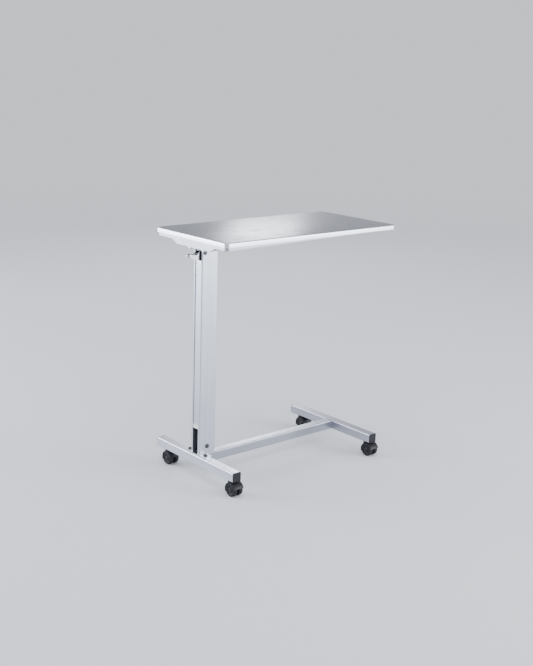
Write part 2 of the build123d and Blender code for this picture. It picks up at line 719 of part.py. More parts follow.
with BuildPart() as foot_bolts:
    with BuildSketch(Plane.XY.offset(PLATE_TOP_Z)):
        with Locations((LEFT_FOOT_X, 0)):
            with GridLocations(0, 2 * PLATE_BOLT_Y, 1, 2):
                Circle(DOME_D / 2)
    extrude(amount=DOME_T)
    fillet(foot_bolts.faces().group_by(Axis.Z)[-1].edges(), DOME_EDGE_R)
    with BuildSketch(Plane.XY.offset(PLATE_TOP_Z)):
        with Locations((LEFT_FOOT_X, 0)):
            with GridLocations(0, 2 * PLATE_BOLT_Y, 1, 2):
                Circle(BOLT_D / 2)
    extrude(amount=-(PLATE_T + TUBE + BOLT_TAIL))
save(foot_bolts.part, "foot_bolts")

with BuildPart() as foot_nuts:
    with BuildSketch(Plane.XY.offset(FOOT_BOTTOM_Z)):
        with Locations((LEFT_FOOT_X, 0)):
            with GridLocations(0, 2 * PLATE_BOLT_Y, 1, 2):
                RegularPolygon(HEX_AF / 2, 6, major_radius=False)
                Circle(BOLT_D / 2, mode=Mode.SUBTRACT)
    extrude(amount=-HEX_T)
save(foot_nuts.part, "foot_nuts")

# ---------------------------------------------------------------- base

for name, foot_x in (("foot_left", LEFT_FOOT_X), ("foot_right", RIGHT_FOOT_X)):
    with BuildPart() as foot:
        with BuildSketch(Plane.XZ.offset(-FOOT_LENGTH / 2)):
            with Locations((foot_x, FOOT_Z)):
                tube_profile(TUBE, TUBE, TUBE_WALL, TUBE_CORNER_R)
        extrude(amount=FOOT_LENGTH)
        with BuildSketch(Plane.XY.offset(FOOT_BOTTOM_Z)):
            with Locations((foot_x, 0)):
                with GridLocations(0, 2 * STEM_Y, 1, 2):
                    Circle(SOCKET_D / 2)
        extrude(amount=TUBE_WALL, mode=Mode.SUBTRACT)
        if name == "foot_left":
            with BuildSketch(Plane.XY.offset(FOOT_BOTTOM_Z)):
                with Locations((foot_x, 0)):
                    with GridLocations(0, 2 * PLATE_BOLT_Y, 1, 2):
                        Circle(BOLT_D / 2)
            extrude(amount=TUBE, mode=Mode.SUBTRACT)
    save(foot.part, name)

with BuildPart() as base_rail:
    with BuildSketch(Plane.YZ.offset(RAIL_START_X)):
        with Locations((0, FOOT_Z)):
            tube_profile(TUBE, TUBE, TUBE_WALL, TUBE_CORNER_R)
    extrude(amount=RAIL_LENGTH)
save(base_rail.part, "base_rail")

for foot_name, foot_x in (("left", LEFT_FOOT_X), ("right", RIGHT_FOOT_X)):
    for end_name, out in (("front", -1), ("back", 1)):
        with BuildPart() as end_cap:
            with BuildSketch(Plane.XZ.offset(-out * FOOT_LENGTH / 2)):
                with Locations((foot_x, FOOT_Z)):
                    RectangleRounded(TUBE, TUBE, TUBE_CORNER_R)
            extrude(amount=-out * CAP_HEAD)
            outer_face = end_cap.faces().sort_by(Axis.Y)[-1 if out > 0 else 0]
            fillet(outer_face.edges(), CAP_EDGE_R)
            with BuildSketch(Plane.XZ.offset(-out * FOOT_LENGTH / 2)):
                with Locations((foot_x, FOOT_Z)):
                    RectangleRounded(CAP_PLUG_W, CAP_PLUG_W, TUBE_CORNER_R - TUBE_WALL)
            extrude(amount=out * CAP_PLUG)
        save(end_cap.part, f"end_cap_{foot_name}_{end_name}")

# ---------------------------------------------------------------- casters


def circle_prism(centre_x, centre_y, radius, start_z, height):
    with BuildPart() as prism:
        with BuildSketch(Plane.XY.offset(start_z)):
            with Locations((centre_x, centre_y)):
                Circle(radius)
        extrude(amount=height)
    return prism.part


def wheel_form(stem_x, axle_y, side):
    """One wheel: a rounded tread, a dished outer face and a blind bore for the axle."""
    with BuildPart() as wheel:
        with BuildSketch(Plane.XY):
            with BuildLine():
                Polyline(
                    (WHEEL_IN, 0),
                    (WHEEL_IN, WHEEL_R - TREAD_R),
                    (WHEEL_IN + TREAD_R, WHEEL_R),
                    (WHEEL_OUT - TREAD_R, WHEEL_R),
                    (WHEEL_OUT, WHEEL_R - TREAD_R),
                    (WHEEL_OUT, DISH_R),
                    (WHEEL_OUT - DISH_DEPTH, DISH_R - DISH_DEPTH),
                    (WHEEL_OUT - DISH_DEPTH, HUB_R),
                    (WHEEL_OUT - HUB_INSET, HUB_R - HUB_CHAMFER),
                    (WHEEL_OUT - HUB_INSET, 0),
                    close=True,
                )
            make_face()
            with Locations(((WHEEL_IN + AXLE_END) / 2, 0)):
                Rectangle(AXLE_END - WHEEL_IN, AXLE_D + 2 * RUNNING, mode=Mode.SUBTRACT)
        revolve(axis=Axis.X)
    turned = wheel.part if side > 0 else wheel.part.mirror(Plane.YZ)
    return turned.moved(Location((stem_x, axle_y, WHEEL_R)))


for corner, stem_x, stem_y in CASTERS:
    axle_y = stem_y - TRAIL

    with BuildPart() as socket:
        with BuildSketch(Plane.XY.offset(FOOT_BOTTOM_Z)):
            with Locations((stem_x, stem_y)):
                Circle(SOCKET_D / 2)
        extrude(amount=SOCKET_H)
        with BuildSketch(Plane.XY.offset(FOOT_BOTTOM_Z)):
            with Locations((stem_x, stem_y)):
                Circle(SOCKET_FLANGE_D / 2)
        extrude(amount=-SOCKET_FLANGE_T)
        with BuildSketch(Plane.XY.offset(FOOT_BOTTOM_Z - SOCKET_FLANGE_T)):
            with Locations((stem_x, stem_y)):
                Circle(STEM_D / 2 + RUNNING)
        extrude(amount=SOCKET_H, mode=Mode.SUBTRACT)
    save(socket.part, f"caster_{corner}_socket")

    save(circle_prism(stem_x, stem_y, STEM_D / 2, STEM_Z, STEM_H), f"caster_{corner}_stem")

    with BuildPart() as hood:
        # fender: an arc over both wheels
        with BuildSketch(Plane.YZ.offset(stem_x - HOOD_W / 2)):
            with BuildLine():
                outer = CenterArc((axle_y, WHEEL_R), HOOD_R, FENDER_FROM, FENDER_ARC)
                inner = CenterArc((axle_y, WHEEL_R), HOOD_R - HOOD_SHEET, FENDER_FROM, FENDER_ARC)
                Line(outer @ 0, inner @ 0)
                Line(outer @ 1, inner @ 1)
            make_face()
        extrude(amount=HOOD_W)
        # web between the wheels, with the axle's hole
        with BuildSketch(Plane.YZ.offset(stem_x - HOOD_WEB / 2)):
            with Locations((axle_y, WHEEL_R)):
                Circle(HUB_WEB_R)
            with BuildLine():
                rim = CenterArc((axle_y, WHEEL_R), HOOD_WEB_R, FENDER_FROM, FENDER_ARC)
                Line(rim @ 0, (axle_y, WHEEL_R))
                Line((axle_y, WHEEL_R), rim @ 1)
            make_face()
            with Locations((axle_y, WHEEL_R)):
                Circle(AXLE_D / 2, mode=Mode.SUBTRACT)
        extrude(amount=HOOD_WEB)
        # boss round the stem, clear of the wheels
        with BuildSketch(Plane.XY.offset(BOSS_Z)):
            with Locations((stem_x, stem_y)):
                Circle(BOSS_R)
        extrude(amount=HOOD_TOP_Z - BOSS_Z)
        with BuildSketch(Plane.YZ.offset(stem_x - HOOD_W)):
            with Locations((axle_y, WHEEL_R)):
                Circle(HOOD_R - HOOD_SHEET)
        extrude(amount=HOOD_W - HOOD_WEB / 2, mode=Mode.SUBTRACT)
        with BuildSketch(Plane.YZ.offset(stem_x + HOOD_WEB / 2)):
            with Locations((axle_y, WHEEL_R)):
                Circle(HOOD_R - HOOD_SHEET)
        extrude(amount=HOOD_W, mode=Mode.SUBTRACT)
        with BuildSketch(Plane.XY.offset(STEM_Z)):
            with Locations((stem_x, stem_y)):
                Circle(STEM_D / 2)
        extrude(amount=STEM_H, mode=Mode.SUBTRACT)
    save(hood.part, f"caster_{corner}_hood")

    with BuildPart() as axle:
        with BuildSketch(Plane.YZ.offset(stem_x)):
            with Locations((axle_y, WHEEL_R)):
                Circle(AXLE_D / 2)
        extrude(amount=AXLE_L / 2, both=True)
    save(axle.part, f"caster_{corner}_axle")

    save(wheel_form(stem_x, axle_y, -1), f"caster_{corner}_wheel_a")
    save(wheel_form(stem_x, axle_y, 1), f"caster_{corner}_wheel_b")
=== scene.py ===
from math import cos, pi, radians, sin

import bpy
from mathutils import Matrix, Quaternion, Vector


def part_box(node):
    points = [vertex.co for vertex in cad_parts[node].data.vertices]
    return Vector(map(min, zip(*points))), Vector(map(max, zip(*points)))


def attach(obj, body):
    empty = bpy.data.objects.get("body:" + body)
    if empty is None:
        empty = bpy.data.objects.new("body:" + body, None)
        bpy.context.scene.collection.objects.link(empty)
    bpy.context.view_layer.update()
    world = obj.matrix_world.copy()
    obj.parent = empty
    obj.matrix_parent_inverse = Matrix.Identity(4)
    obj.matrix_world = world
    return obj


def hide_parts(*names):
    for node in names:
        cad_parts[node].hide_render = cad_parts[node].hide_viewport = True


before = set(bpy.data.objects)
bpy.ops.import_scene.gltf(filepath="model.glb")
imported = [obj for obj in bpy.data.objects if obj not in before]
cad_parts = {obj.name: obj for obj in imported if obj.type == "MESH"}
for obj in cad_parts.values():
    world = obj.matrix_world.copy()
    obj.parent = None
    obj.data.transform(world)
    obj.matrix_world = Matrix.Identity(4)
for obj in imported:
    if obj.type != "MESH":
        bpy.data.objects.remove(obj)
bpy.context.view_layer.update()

# Everything is in metres, in the frame's own axes: +X along the top towards its free end, the
# column at the -X end, the front of the table towards -Y.
MM = 0.001
CORNERS = ("left_front", "left_back", "right_front", "right_back")


# ---------------------------------------------------------------- finishes


class Wire:
    """A shader socket that takes part in sums, with sockets or plain numbers on either side."""

    def __init__(self, tree, socket):
        self.tree = tree
        self.socket = socket

    def math(self, operation, left, right):
        node = self.tree.nodes.new("ShaderNodeMath")
        node.operation = operation
        feed(self.tree, node.inputs[0], left)
        feed(self.tree, node.inputs[1], right)
        return Wire(self.tree, node.outputs[0])

    def __add__(self, other):
        return self.math("ADD", self, other)

    def __radd__(self, other):
        return self.math("ADD", other, self)

    def __sub__(self, other):
        return self.math("SUBTRACT", self, other)

    def __rsub__(self, other):
        return self.math("SUBTRACT", other, self)

    def __mul__(self, other):
        return self.math("MULTIPLY", self, other)

    def __rmul__(self, other):
        return self.math("MULTIPLY", other, self)

    def __pow__(self, other):
        return self.math("POWER", self, other)


def feed(tree, socket, value):
    """Links a wire to the socket, or sets the socket to a number or a colour."""
    if isinstance(value, Wire):
        tree.links.new(value.socket, socket)
    else:
        socket.default_value = value


class Finish:
    """A material while its nodes are being laid."""

    def __init__(self, name):
        self.material = bpy.data.materials.new(name)
        self.material.use_nodes = True
        self.tree = self.material.node_tree
        self.tree.nodes.clear()
        self.place = self.node("ShaderNodeTexCoord", {}, {}, "Object")

    def node(self, kind, settings, sockets, output):
        """Any node: its settings first, then the values or links of its sockets."""
        made = self.tree.nodes.new(kind)
        for setting, value in settings.items():
            if setting == "stops":
                self.set_stops(made.color_ramp, value)
            else:
                setattr(made, setting, value)
        for socket, value in sockets.items():
            feed(self.tree, made.inputs[socket], value)
        return Wire(self.tree, made.outputs[output])

    def set_stops(self, ramp, stops):
        while len(ramp.elements) < len(stops):
            ramp.elements.new(1.0)
        for element, (position, shade) in zip(ramp.elements, stops):
            element.position = position
            element.color = (shade, shade, shade, 1.0)

    def noise(self, scale, detail=3.0, stretch=(1, 1, 1)):
        """Noise about 0.5, with scale features to the metre, drawn out by stretch."""
        squeezed = tuple(scale / s for s in stretch)
        moved = self.node("ShaderNodeMapping", {}, {"Vector": self.place, "Scale": squeezed}, 0)
        sockets = {"Vector": moved, "Scale": 1.0, "Detail": detail}
        return self.node("ShaderNodeTexNoise", {}, sockets, 0)

    def ramp(self, value, low, high):
        """0 where value is under low, 1 over high, smooth between."""
        settings = {"interpolation_type": "SMOOTHSTEP"}
        sockets = {"Value": value, "From Min": low, "From Max": high}
        return self.node("ShaderNodeMapRange", settings, sockets, 0)

    def blend(self, share, first, second):
        """Colour first where share is 0, second where it is 1."""
        sockets = {0: share, 6: first, 7: second}
        return self.node("ShaderNodeMix", {"data_type": "RGBA"}, sockets, 2)

    def axis(self, name):
        return self.node("ShaderNodeSeparateXYZ", {}, {0: self.place}, name)

    def bump(self, height, depth):
        return self.node("ShaderNodeBump", {}, {"Height": height, "Distance": depth}, 0)

    def surface(self, **sockets):
        """The closing shader, from its sockets' names with underscores for spaces."""
        named = {name.replace("_", " "): value for name, value in sockets.items()}
        shader = self.node("ShaderNodeBsdfPrincipled", {}, named, 0)
        closing = self.tree.nodes.new("ShaderNodeOutputMaterial")
        self.tree.links.new(shader.socket, closing.inputs["Surface"])
        return self.material


def rgb(red, green, blue):
    return (red, green, blue, 1.0)


def satin_steel(name, grain, tone, roughness=0.32):
    """Brushed stainless steel, its brushing drawn out along the grain's axis."""
    f = Finish(name)
    brushed = [1.0, 1.0, 1.0]
    brushed["XYZ".index(grain)] = 60.0
    scraped = [1.0, 1.0, 1.0]
    scraped["XYZ".index(grain)] = 14.0
    fine = f.noise(1500.0, 2.0, brushed)
    broad = f.noise(120.0, 3.0, brushed)
    cloud = f.noise(6.0, 2.0)
    smudge = f.ramp(f.noise(17.0, 4.0), 0.54, 0.72)
    scratch = f.ramp(f.noise(420.0, 1.0, scraped), 0.70, 0.74)
    darker = rgb(*(c * 0.88 for c in tone))
    shade = f.blend(f.ramp(broad * 0.6 + cloud * 0.4, 0.36, 0.64), darker, rgb(*tone))
    shade = f.blend(smudge * 0.10 + scratch * 0.12, shade, rgb(*(c * 0.8 for c in tone)))
    rough = roughness + (fine - 0.5) * 0.10 + (cloud - 0.5) * 0.08 + smudge * 0.05 + scratch * 0.06
    return f.surface(
        Base_Color=shade,
        Metallic=1.0,
        Roughness=rough,
        Normal=f.bump(fine * 0.7 + broad * 0.25 - scratch * 0.3, 0.02 * MM),
    )


def plain_metal(name, colour, roughness, metallic=1.0):
    """Plated or blackened metal with a faint mottle."""
    f = Finish(name)
    cloud = f.noise(60.0, 4.0)
    fine = f.noise(900.0, 2.0)
    darker = rgb(*(c * 0.82 for c in colour))
    return f.surface(
        Base_Color=f.blend(f.ramp(cloud, 0.35, 0.65), darker, rgb(*colour)),
        Metallic=metallic,
        Roughness=roughness + (cloud - 0.5) * 0.15,
        Normal=f.bump(fine, 0.01 * MM),
    )


def weld_metal(name):
    """Bead metal: bright ripples with a faint straw tint between them."""
    f = Finish(name)
    cloud = f.noise(150.0, 3.0)
    return f.surface(
        Base_Color=f.blend(f.ramp(cloud, 0.4, 0.7), rgb(0.52, 0.52, 0.55), rgb(0.50, 0.45, 0.38)),
        Metallic=1.0,
        Roughness=0.38 + (cloud - 0.5) * 0.2,
        Normal=f.bump(f.noise(1300.0, 2.0), 0.03 * MM),
    )


def moulded(name, colour, roughness):
    """Moulded plastic with a fine spark-eroded grain, dust and a few scuffs."""
    f = Finish(name)
    pebble = f.noise(1100.0, 3.0)
    cloud = f.noise(35.0, 4.0)
    scuff = f.ramp(f.noise(300.0, 3.0, (1, 6, 1)), 0.62, 0.72)
    lighter = rgb(*(c * 1.35 + 0.004 for c in colour))
    return f.surface(
        Base_Color=f.blend(cloud * 0.6 + scuff * 0.3, rgb(*colour), lighter),
        Roughness=roughness + (cloud - 0.5) * 0.2 + scuff * 0.1,
        Specular_IOR_Level=0.32,
        Normal=f.bump(pebble, 0.04 * MM),
    )


# the stainless tones below, all but the weld's, are one steel in lit and shaded copies; each tone
# paints in how light falls on its parts: the top face's 0.17 a painted dark reflection, the 0.42 to
# 0.70 of rail, pan, arm, ribs, column, feet and plates painted shade, the rim's 0.76 a painted
# highlight
FINISHES = {
    "stainless_top": satin_steel("stainless_top", "X", (0.17, 0.178, 0.215), 0.28),
    "stainless_rim_painted_highlight": satin_steel("stainless_rim_painted_highlight", "X", (0.76, 0.79, 0.86), 0.30),
    "stainless_x_painted_shade": satin_steel("stainless_x_painted_shade", "X", (0.47, 0.485, 0.55)),
    "stainless_y": satin_steel("stainless_y", "Y", (0.70, 0.72, 0.80)),
    "stainless_far_painted_shade": satin_steel("stainless_far_painted_shade", "Y", (0.42, 0.43, 0.49)),
    "stainless_z": satin_steel("stainless_z", "Z", (0.62, 0.65, 0.72)),
    "zinc": plain_metal("zinc", (0.62, 0.63, 0.66), 0.32),
    "chrome": plain_metal("chrome", (0.78, 0.79, 0.81), 0.14),
    "bolt_dark": plain_metal("bolt_dark", (0.10, 0.10, 0.115), 0.36, 0.9),
    "spring_black": plain_metal("spring_black", (0.02, 0.02, 0.023), 0.28, 0.0),
    "cap_black": moulded("cap_black", (0.012, 0.012, 0.016), 0.48),
    "hood_black": moulded("hood_black", (0.007, 0.007, 0.010), 0.44),
    "wheel_grey": moulded("wheel_grey", (0.010, 0.010, 0.013), 0.62),
    "nylon_black": moulded("nylon_black", (0.016, 0.016, 0.020), 0.45),
    "nylon_white": moulded("nylon_white", (0.72, 0.72, 0.72), 0.42),
    "stainless_weld": weld_metal("stainless_weld"),
}
GRAIN_ALONG_Y = ("foot_left", "foot_right", "head_plate", "column_foot_plate")
GRAIN_ALONG_X = (
    "base_rail",
    "support_pan",
    "support_arm",
    "stiffener_rib_front",
    "stiffener_rib_back",
)


# ---------------------------------------------------------------- modelling

# nearer than this, two places count as one
TINY = 0.02 * MM


def deselect():
    bpy.ops.object.select_all(action="DESELECT")


def take(piece):
    """Makes piece the only selected and active object."""
    deselect()
    piece.select_set(True)
    bpy.context.view_layer.objects.active = piece


def settle(piece):
    """Moves the object's place, turn and scale into its mesh."""
    take(piece)
    bpy.ops.object.transform_apply(location=True, rotation=True, scale=True)


def block(name, low, high):
    """A box between two corners, to be shaped further."""
    deselect()
    low, high = Vector(low), Vector(high)
    bpy.ops.mesh.primitive_cube_add(size=1.0, location=(low + high) / 2, scale=high - low)
    piece = bpy.context.object
    piece.name = name
    settle(piece)
    return piece


def discard(piece):
    take(piece)
    bpy.ops.object.delete()


def clear_picks(piece, mode):
    """Nothing selected in the mesh; mode says whether vertices, edges or faces are picked."""
    take(piece)
    bpy.context.tool_settings.mesh_select_mode = mode
    for group in (piece.data.vertices, piece.data.edges, piece.data.polygons):
        group.foreach_set("select", [False] * len(group))


def pick_faces(piece, test):
    """Enters edit mode with the faces selected whose middle and normal pass the test."""
    clear_picks(piece, (False, False, True))
    for face in piece.data.polygons:
        face.select = test(face.center, face.normal)
    bpy.ops.object.mode_set(mode="EDIT")


def pick_edges(piece, test):
    """Enters edit mode with the edges selected whose two ends pass the test."""
    clear_picks(piece, (False, True, False))
    for edge in piece.data.edges:
        first, second = (piece.data.vertices[i].co for i in edge.vertices)
        edge.select = test(first, second)
    bpy.ops.object.mode_set(mode="EDIT")


def pick_all(piece):
    """Enters edit mode with the whole mesh selected."""
    pick_faces(piece, lambda middle, normal: True)
    bpy.ops.mesh.select_all(action="SELECT")


def leave():
    bpy.ops.object.mode_set(mode="OBJECT")


def runs_along(axis):
    """A test for edges that run along one axis, 0 for X, 1 for Y and 2 for Z."""
    others = [i for i in range(3) if i != axis]
    return lambda a, b: all(abs(a[i] - b[i]) < TINY for i in others)


def lies_at(axis, value):
    """A test for edges that lie in the plane where one coordinate has that value."""
    return lambda a, b: abs(a[axis] - value) < TINY and abs(b[axis] - value) < TINY


def round_off(piece, test, radius, segments=4):
    pick_edges(piece, test)
    bpy.ops.mesh.bevel(offset=radius, offset_type="OFFSET", segments=segments, profile=0.5)
    leave()


def turned(name, start, axis, profile, segments=48):
    """A turned solid: profile holds (distance from start along the axis, radius) pairs."""
    deselect()
    reach, radius = profile[0]
    bpy.ops.mesh.primitive_circle_add(
        vertices=segments, radius=radius, fill_type="NGON", location=(0, 0, reach)
    )
    piece = bpy.context.object
    piece.name = name
    settle(piece)
    pick_all(piece)
    for next_reach, next_radius in profile[1:]:
        bpy.ops.mesh.extrude_region_move(
            TRANSFORM_OT_translate={"value": (0, 0, next_reach - reach)}
        )
        grow = next_radius / radius
        bpy.ops.transform.resize(value=(grow, grow, 1), center_override=(0, 0, next_reach))
        reach, radius = next_reach, next_radius
    bpy.ops.mesh.select_all(action="SELECT")
    bpy.ops.mesh.normals_make_consistent(inside=False)
    leave()
    piece.rotation_mode = "QUATERNION"
    piece.rotation_quaternion = Vector(axis).to_track_quat("Z", "Y")
    piece.location = start
    settle(piece)
    return piece


def hollow(piece, cutter):
    """Cuts the cutter's shape out of the piece."""
    take(piece)
    cut = piece.modifiers.new("socket", "BOOLEAN")
    cut.object = cutter
    cut.operation = "DIFFERENCE"
    bpy.ops.object.modifier_apply(modifier=cut.name)
    discard(cutter)


def joined(name, pieces):
    """Several solids as one piece."""
    deselect()
    for piece in pieces:
        piece.select_set(True)
    bpy.context.view_layer.objects.active = pieces[0]
    if len(pieces) > 1:
        bpy.ops.object.join()
    pieces[0].name = name
    return pieces[0]


def copied(piece, name, shift, half_turn=None):
    """A copy with its own mesh, moved by shift after half a turn about an upright line."""
    take(piece)
    bpy.ops.object.duplicate(linked=False)
    made = bpy.context.object
    made.name = name
    pick_all(made)
    if half_turn:
        bpy.ops.transform.rotate(value=pi, orient_axis="Z", center_override=half_turn)
    bpy.ops.transform.translate(value=shift)
    leave()
    return made


def finished(piece, body, finish, nodes=(), angle=38):
    """Faces outwards, smooth shading up to angle in degrees, its finish and its body."""
    pick_all(piece)
    bpy.ops.mesh.normals_make_consistent(inside=False)
    leave()
    bpy.ops.object.shade_smooth_by_angle(angle=radians(angle))
    piece.data.materials.clear()
    piece.data.materials.append(FINISHES[finish])
    if nodes:
        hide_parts(*nodes)
    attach(piece, body)
    return piece


def middle_of(node):
    low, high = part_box(node)
    return (low + high) / 2


# ---------------------------------------------------------------- finishes on the frame's nodes

for name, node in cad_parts.items():
    packed = node.data.materials[0].name if node.data.materials else "stainless"
    finish = next((known for known in FINISHES if packed.startswith(known)), "stainless_z")
    if finish == "stainless_z" and name in GRAIN_ALONG_Y:
        finish = "stainless_y"
    # the rail, pan, arm and ribs get a darker copy of the steel, painted shade
    if finish == "stainless_z" and name in GRAIN_ALONG_X:
        finish = "stainless_x_painted_shade"
    # the right foot gets a darker copy of the steel than the left, painted shade
    if name == "foot_right":
        finish = "stainless_far_painted_shade"
    node.data.materials.clear()
    node.data.materials.append(FINISHES[finish])

# the lever is pressed from stainless sheet and then polished
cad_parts["release_lever"].data.materials[0] = FINISHES["chrome"]

# pressed and moulded nodes get the small radii of their real edges, in millimetres
SOFT_EDGES = {
    "support_pan": 0.8,
    "support_arm": 1.2,
    "head_plate": 0.8,
    "arm_nut_plate": 0.6,
    "column_foot_plate": 0.8,
    "stiffener_rib_front": 0.6,
    "stiffener_rib_back": 0.6,
    "release_lever": 0.5,
    "lever_bezel": 0.3,
    "upper_guide": 0.3,
    "lower_guide": 0.4,
    **{f"caster_{corner}_hood": 0.5 for corner in CORNERS},
    **{f"caster_{corner}_socket": 0.3 for corner in CORNERS},
}
for name, radius in SOFT_EDGES.items():
    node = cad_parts[name]
    merge = node.modifiers.new("merge", "WELD")
    merge.merge_threshold = 0.005 * MM
    soften = node.modifiers.new("soften", "BEVEL")
    soften.width = radius * MM
    soften.segments = 2
    soften.limit_method = "ANGLE"
    soften.angle_limit = radians(40)
    soften.use_clamp_overlap = True


# ---------------------------------------------------------------- folded tray of the table top

TOP_CORNER = 14 * MM
TOP_EDGE = 4 * MM
TOP_SHEET = 1.2 * MM
RETURN = 10 * MM

low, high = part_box("table_top")
tray = block("table_top_tray", low, high)
round_off(tray, runs_along(2), TOP_CORNER, 14)
round_off(tray, lies_at(2, high.z), TOP_EDGE, 6)
# the rim's lower edge is folded under as a narrow return
pick_faces(tray, lambda middle, normal: middle.z < low.z + TINY)
bpy.ops.mesh.inset(thickness=RETURN)
bpy.ops.mesh.delete(type="FACE")
leave()
wall = tray.modifiers.new("sheet", "SOLIDIFY")
wall.thickness = TOP_SHEET
wall.offset = -1
wall.use_even_offset = True
take(tray)
bpy.ops.object.modifier_apply(modifier=wall.name)
finished(tray, "lift", "stainless_top", ["table_top"], 30)
# the top face keeps the dark copy of the steel, a painted dark reflection; the rest of the tray, the
# rim first, gets a much brighter copy of the same steel, a painted highlight
tray.data.materials.append(FINISHES["stainless_rim_painted_highlight"])
for face in tray.data.polygons:
    face.material_index = 0 if face.normal.z > 0.8 and face.center.z > high.z - TOP_EDGE else 1


# ---------------------------------------------------------------- end caps of the feet

CAP_LIP = 3 * MM
CAP_CORNER = 4 * MM
CAP_EDGE = 1.8 * MM
CAP_MARGIN = 1.4 * MM
CAP_DISH = 0.5 * MM
CAP_STEP = 2.4 * MM

low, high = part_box("end_cap_left_front")
cap = block("cap", low, (high.x, low.y + CAP_LIP, high.z))
round_off(cap, runs_along(1), CAP_CORNER, 5)
round_off(cap, lies_at(1, low.y), CAP_EDGE, 4)
# a shallow dish in the face, then the plug into the tube
pick_faces(cap, lambda middle, normal: middle.y < low.y + TINY and normal.y < -0.9)
bpy.ops.mesh.inset(thickness=CAP_MARGIN, depth=0)
bpy.ops.mesh.inset(thickness=CAP_DISH, depth=-CAP_DISH)
leave()
pick_faces(cap, lambda middle, normal: middle.y > low.y + CAP_LIP - TINY and normal.y > 0.9)
bpy.ops.mesh.inset(thickness=CAP_STEP, depth=0)
plug_l = high.y - low.y - CAP_LIP
bpy.ops.mesh.extrude_region_move(TRANSFORM_OT_translate={"value": (0, plug_l, 0)})
leave()
for side in ("left", "right"):
    for end in ("front", "back"):
        node = f"end_cap_{side}_{end}"
        first, wanted = middle_of("end_cap_left_front"), middle_of(node)
        turn = (first.x, first.y, first.z) if end == "back" else None
        made = copied(cap, node + "_moulding", wanted - first, turn)
        finished(made, "base", "cap_black", [node], 35)
discard(cap)


# ---------------------------------------------------------------- casters

# each pair is the distance outwards from the wheel's inner face and the radius, in millimetres
TYRE = (
    (0.4, 18.0), (0.0, 20.6), (0.5, 22.4), (1.8, 23.5), (3.6, 24.0), (6.4, 24.0), (6.8, 23.5),
    (7.4, 23.5), (7.8, 24.0), (12.2, 24.0), (14.2, 23.5), (15.5, 22.4), (16.0, 20.8), (15.9, 19.0),
    (15.2, 18.2), (8.0, 17.9),
)
HUB = (
    (0.5, 18.1), (14.6, 18.1), (15.5, 17.6), (15.6, 16.4), (15.0, 15.4), (13.2, 14.2), (12.8, 13.0),
    (12.9, 9.4), (13.6, 8.4), (15.0, 7.6), (15.5, 6.6), (15.6, 3.4), (15.1, 2.6), (15.1, 0.3),
)
# the ribs start so far from the axle and so far outwards; a rib's pairs run along it
RIBS = 5
RIB_FROM = 7.6 * MM
RIB_OUT = 12.4 * MM
RIB = ((0, 1.5), (1.0, 1.7), (6.2, 1.5), (7.0, 1.1))

wheel_parts = {}
for wheel in "ab":
    node = f"caster_left_front_wheel_{wheel}"
    low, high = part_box(node)
    centre = (low + high) / 2
    outwards = 1 if centre.x > middle_of("caster_left_front_stem").x else -1
    start = (low.x if outwards > 0 else high.x, centre.y, centre.z)
    tyre = turned("tyre", start, (outwards, 0, 0), [(d * MM, r * MM) for d, r in TYRE], 64)
    hub = turned("hub", start, (outwards, 0, 0), [(d * MM, r * MM) for d, r in HUB], 48)
    # raised ribs across the hub's dish
    ribs = []
    for count in range(RIBS):
        turn = 2 * pi * count / RIBS
        along_rib = Vector((0, cos(turn), sin(turn)))
        foot = Vector(start) + Vector((outwards * RIB_OUT, 0, 0)) + along_rib * RIB_FROM
        rib = turned("rib", foot, along_rib, [(d * MM, r * MM) for d, r in RIB], 10)
        ribs.append(rib)
    hub = joined("hub", [hub, *ribs])
    wheel_parts[wheel] = (tyre, hub)

for corner in CORNERS:
    for wheel, (tyre, hub) in wheel_parts.items():
        node = f"caster_{corner}_wheel_{wheel}"
        shift = middle_of(node) - middle_of(f"caster_left_front_wheel_{wheel}")
        finished(copied(tyre, node + "_tyre", shift), node, "wheel_grey", [node], 30)
        finished(copied(hub, node + "_hub", shift), node, "hood_black", (), 30)
for tyre, hub in wheel_parts.values():
    discard(tyre)
    discard(hub)


# ---------------------------------------------------------------- bolts, screws and nuts


# outlines from the seat upwards: shares of the height, and of the diameter or width across flats
BUTTON = ((0.18, 0.5), (0.45, 0.455), (0.72, 0.375), (0.92, 0.28), (1.0, 0.21))
DOME = ((0, 0.46), (0.4, 0.44), (0.75, 0.32), (0.95, 0.12), (1.0, 0.03))


def button_bolt(start, axis, length, head_d, head_t, shank_d, key):
    """A button-head bolt from its tail's end, with a hexagonal socket in its head."""
    neck = length - head_t
    bolt = turned(
        "bolt",
        start,
        axis,
        [
            (0, shank_d / 2 - 0.7 * MM),
            (0.8 * MM, shank_d / 2),
            (neck, shank_d / 2),
            (neck, head_d / 2 - 0.4 * MM),
            (neck + 0.3 * MM, head_d / 2),
            *((neck + up * head_t, out * head_d) for up, out in BUTTON),
        ],
        40,
    )
    mouth = Vector(start) + Vector(axis) * (length - 0.55 * head_t)
    socket = turned("socket", mouth, axis, [(0, key / 2), (head_t, key / 2)], 6)
    hollow(bolt, socket)
    return bolt


def hex_nut(start, axis, flats, thickness, dome):
    """A chamfered hexagon, with a dome on it where dome isn't 0."""
    across = flats / cos(pi / 6) / 2
    chamfered = [
        (0, across * 0.95),
        (0.4 * MM, across),
        (thickness - 0.5 * MM, across),
        (thickness, across * 0.93),
    ]
    nut = turned("nut", start, axis, chamfered, 6)
    if not dome:
        return nut
    rounded = [(up * dome, out * flats) for up, out in DOME]
    over = turned("dome", Vector(start) + Vector(axis) * thickness, axis, rounded, 32)
    return joined("nut", [nut, over])


SHANK = 8 * MM
HEAD_D = 17 * MM
HEAD_T = 5 * MM
KEY = 5.6 * MM

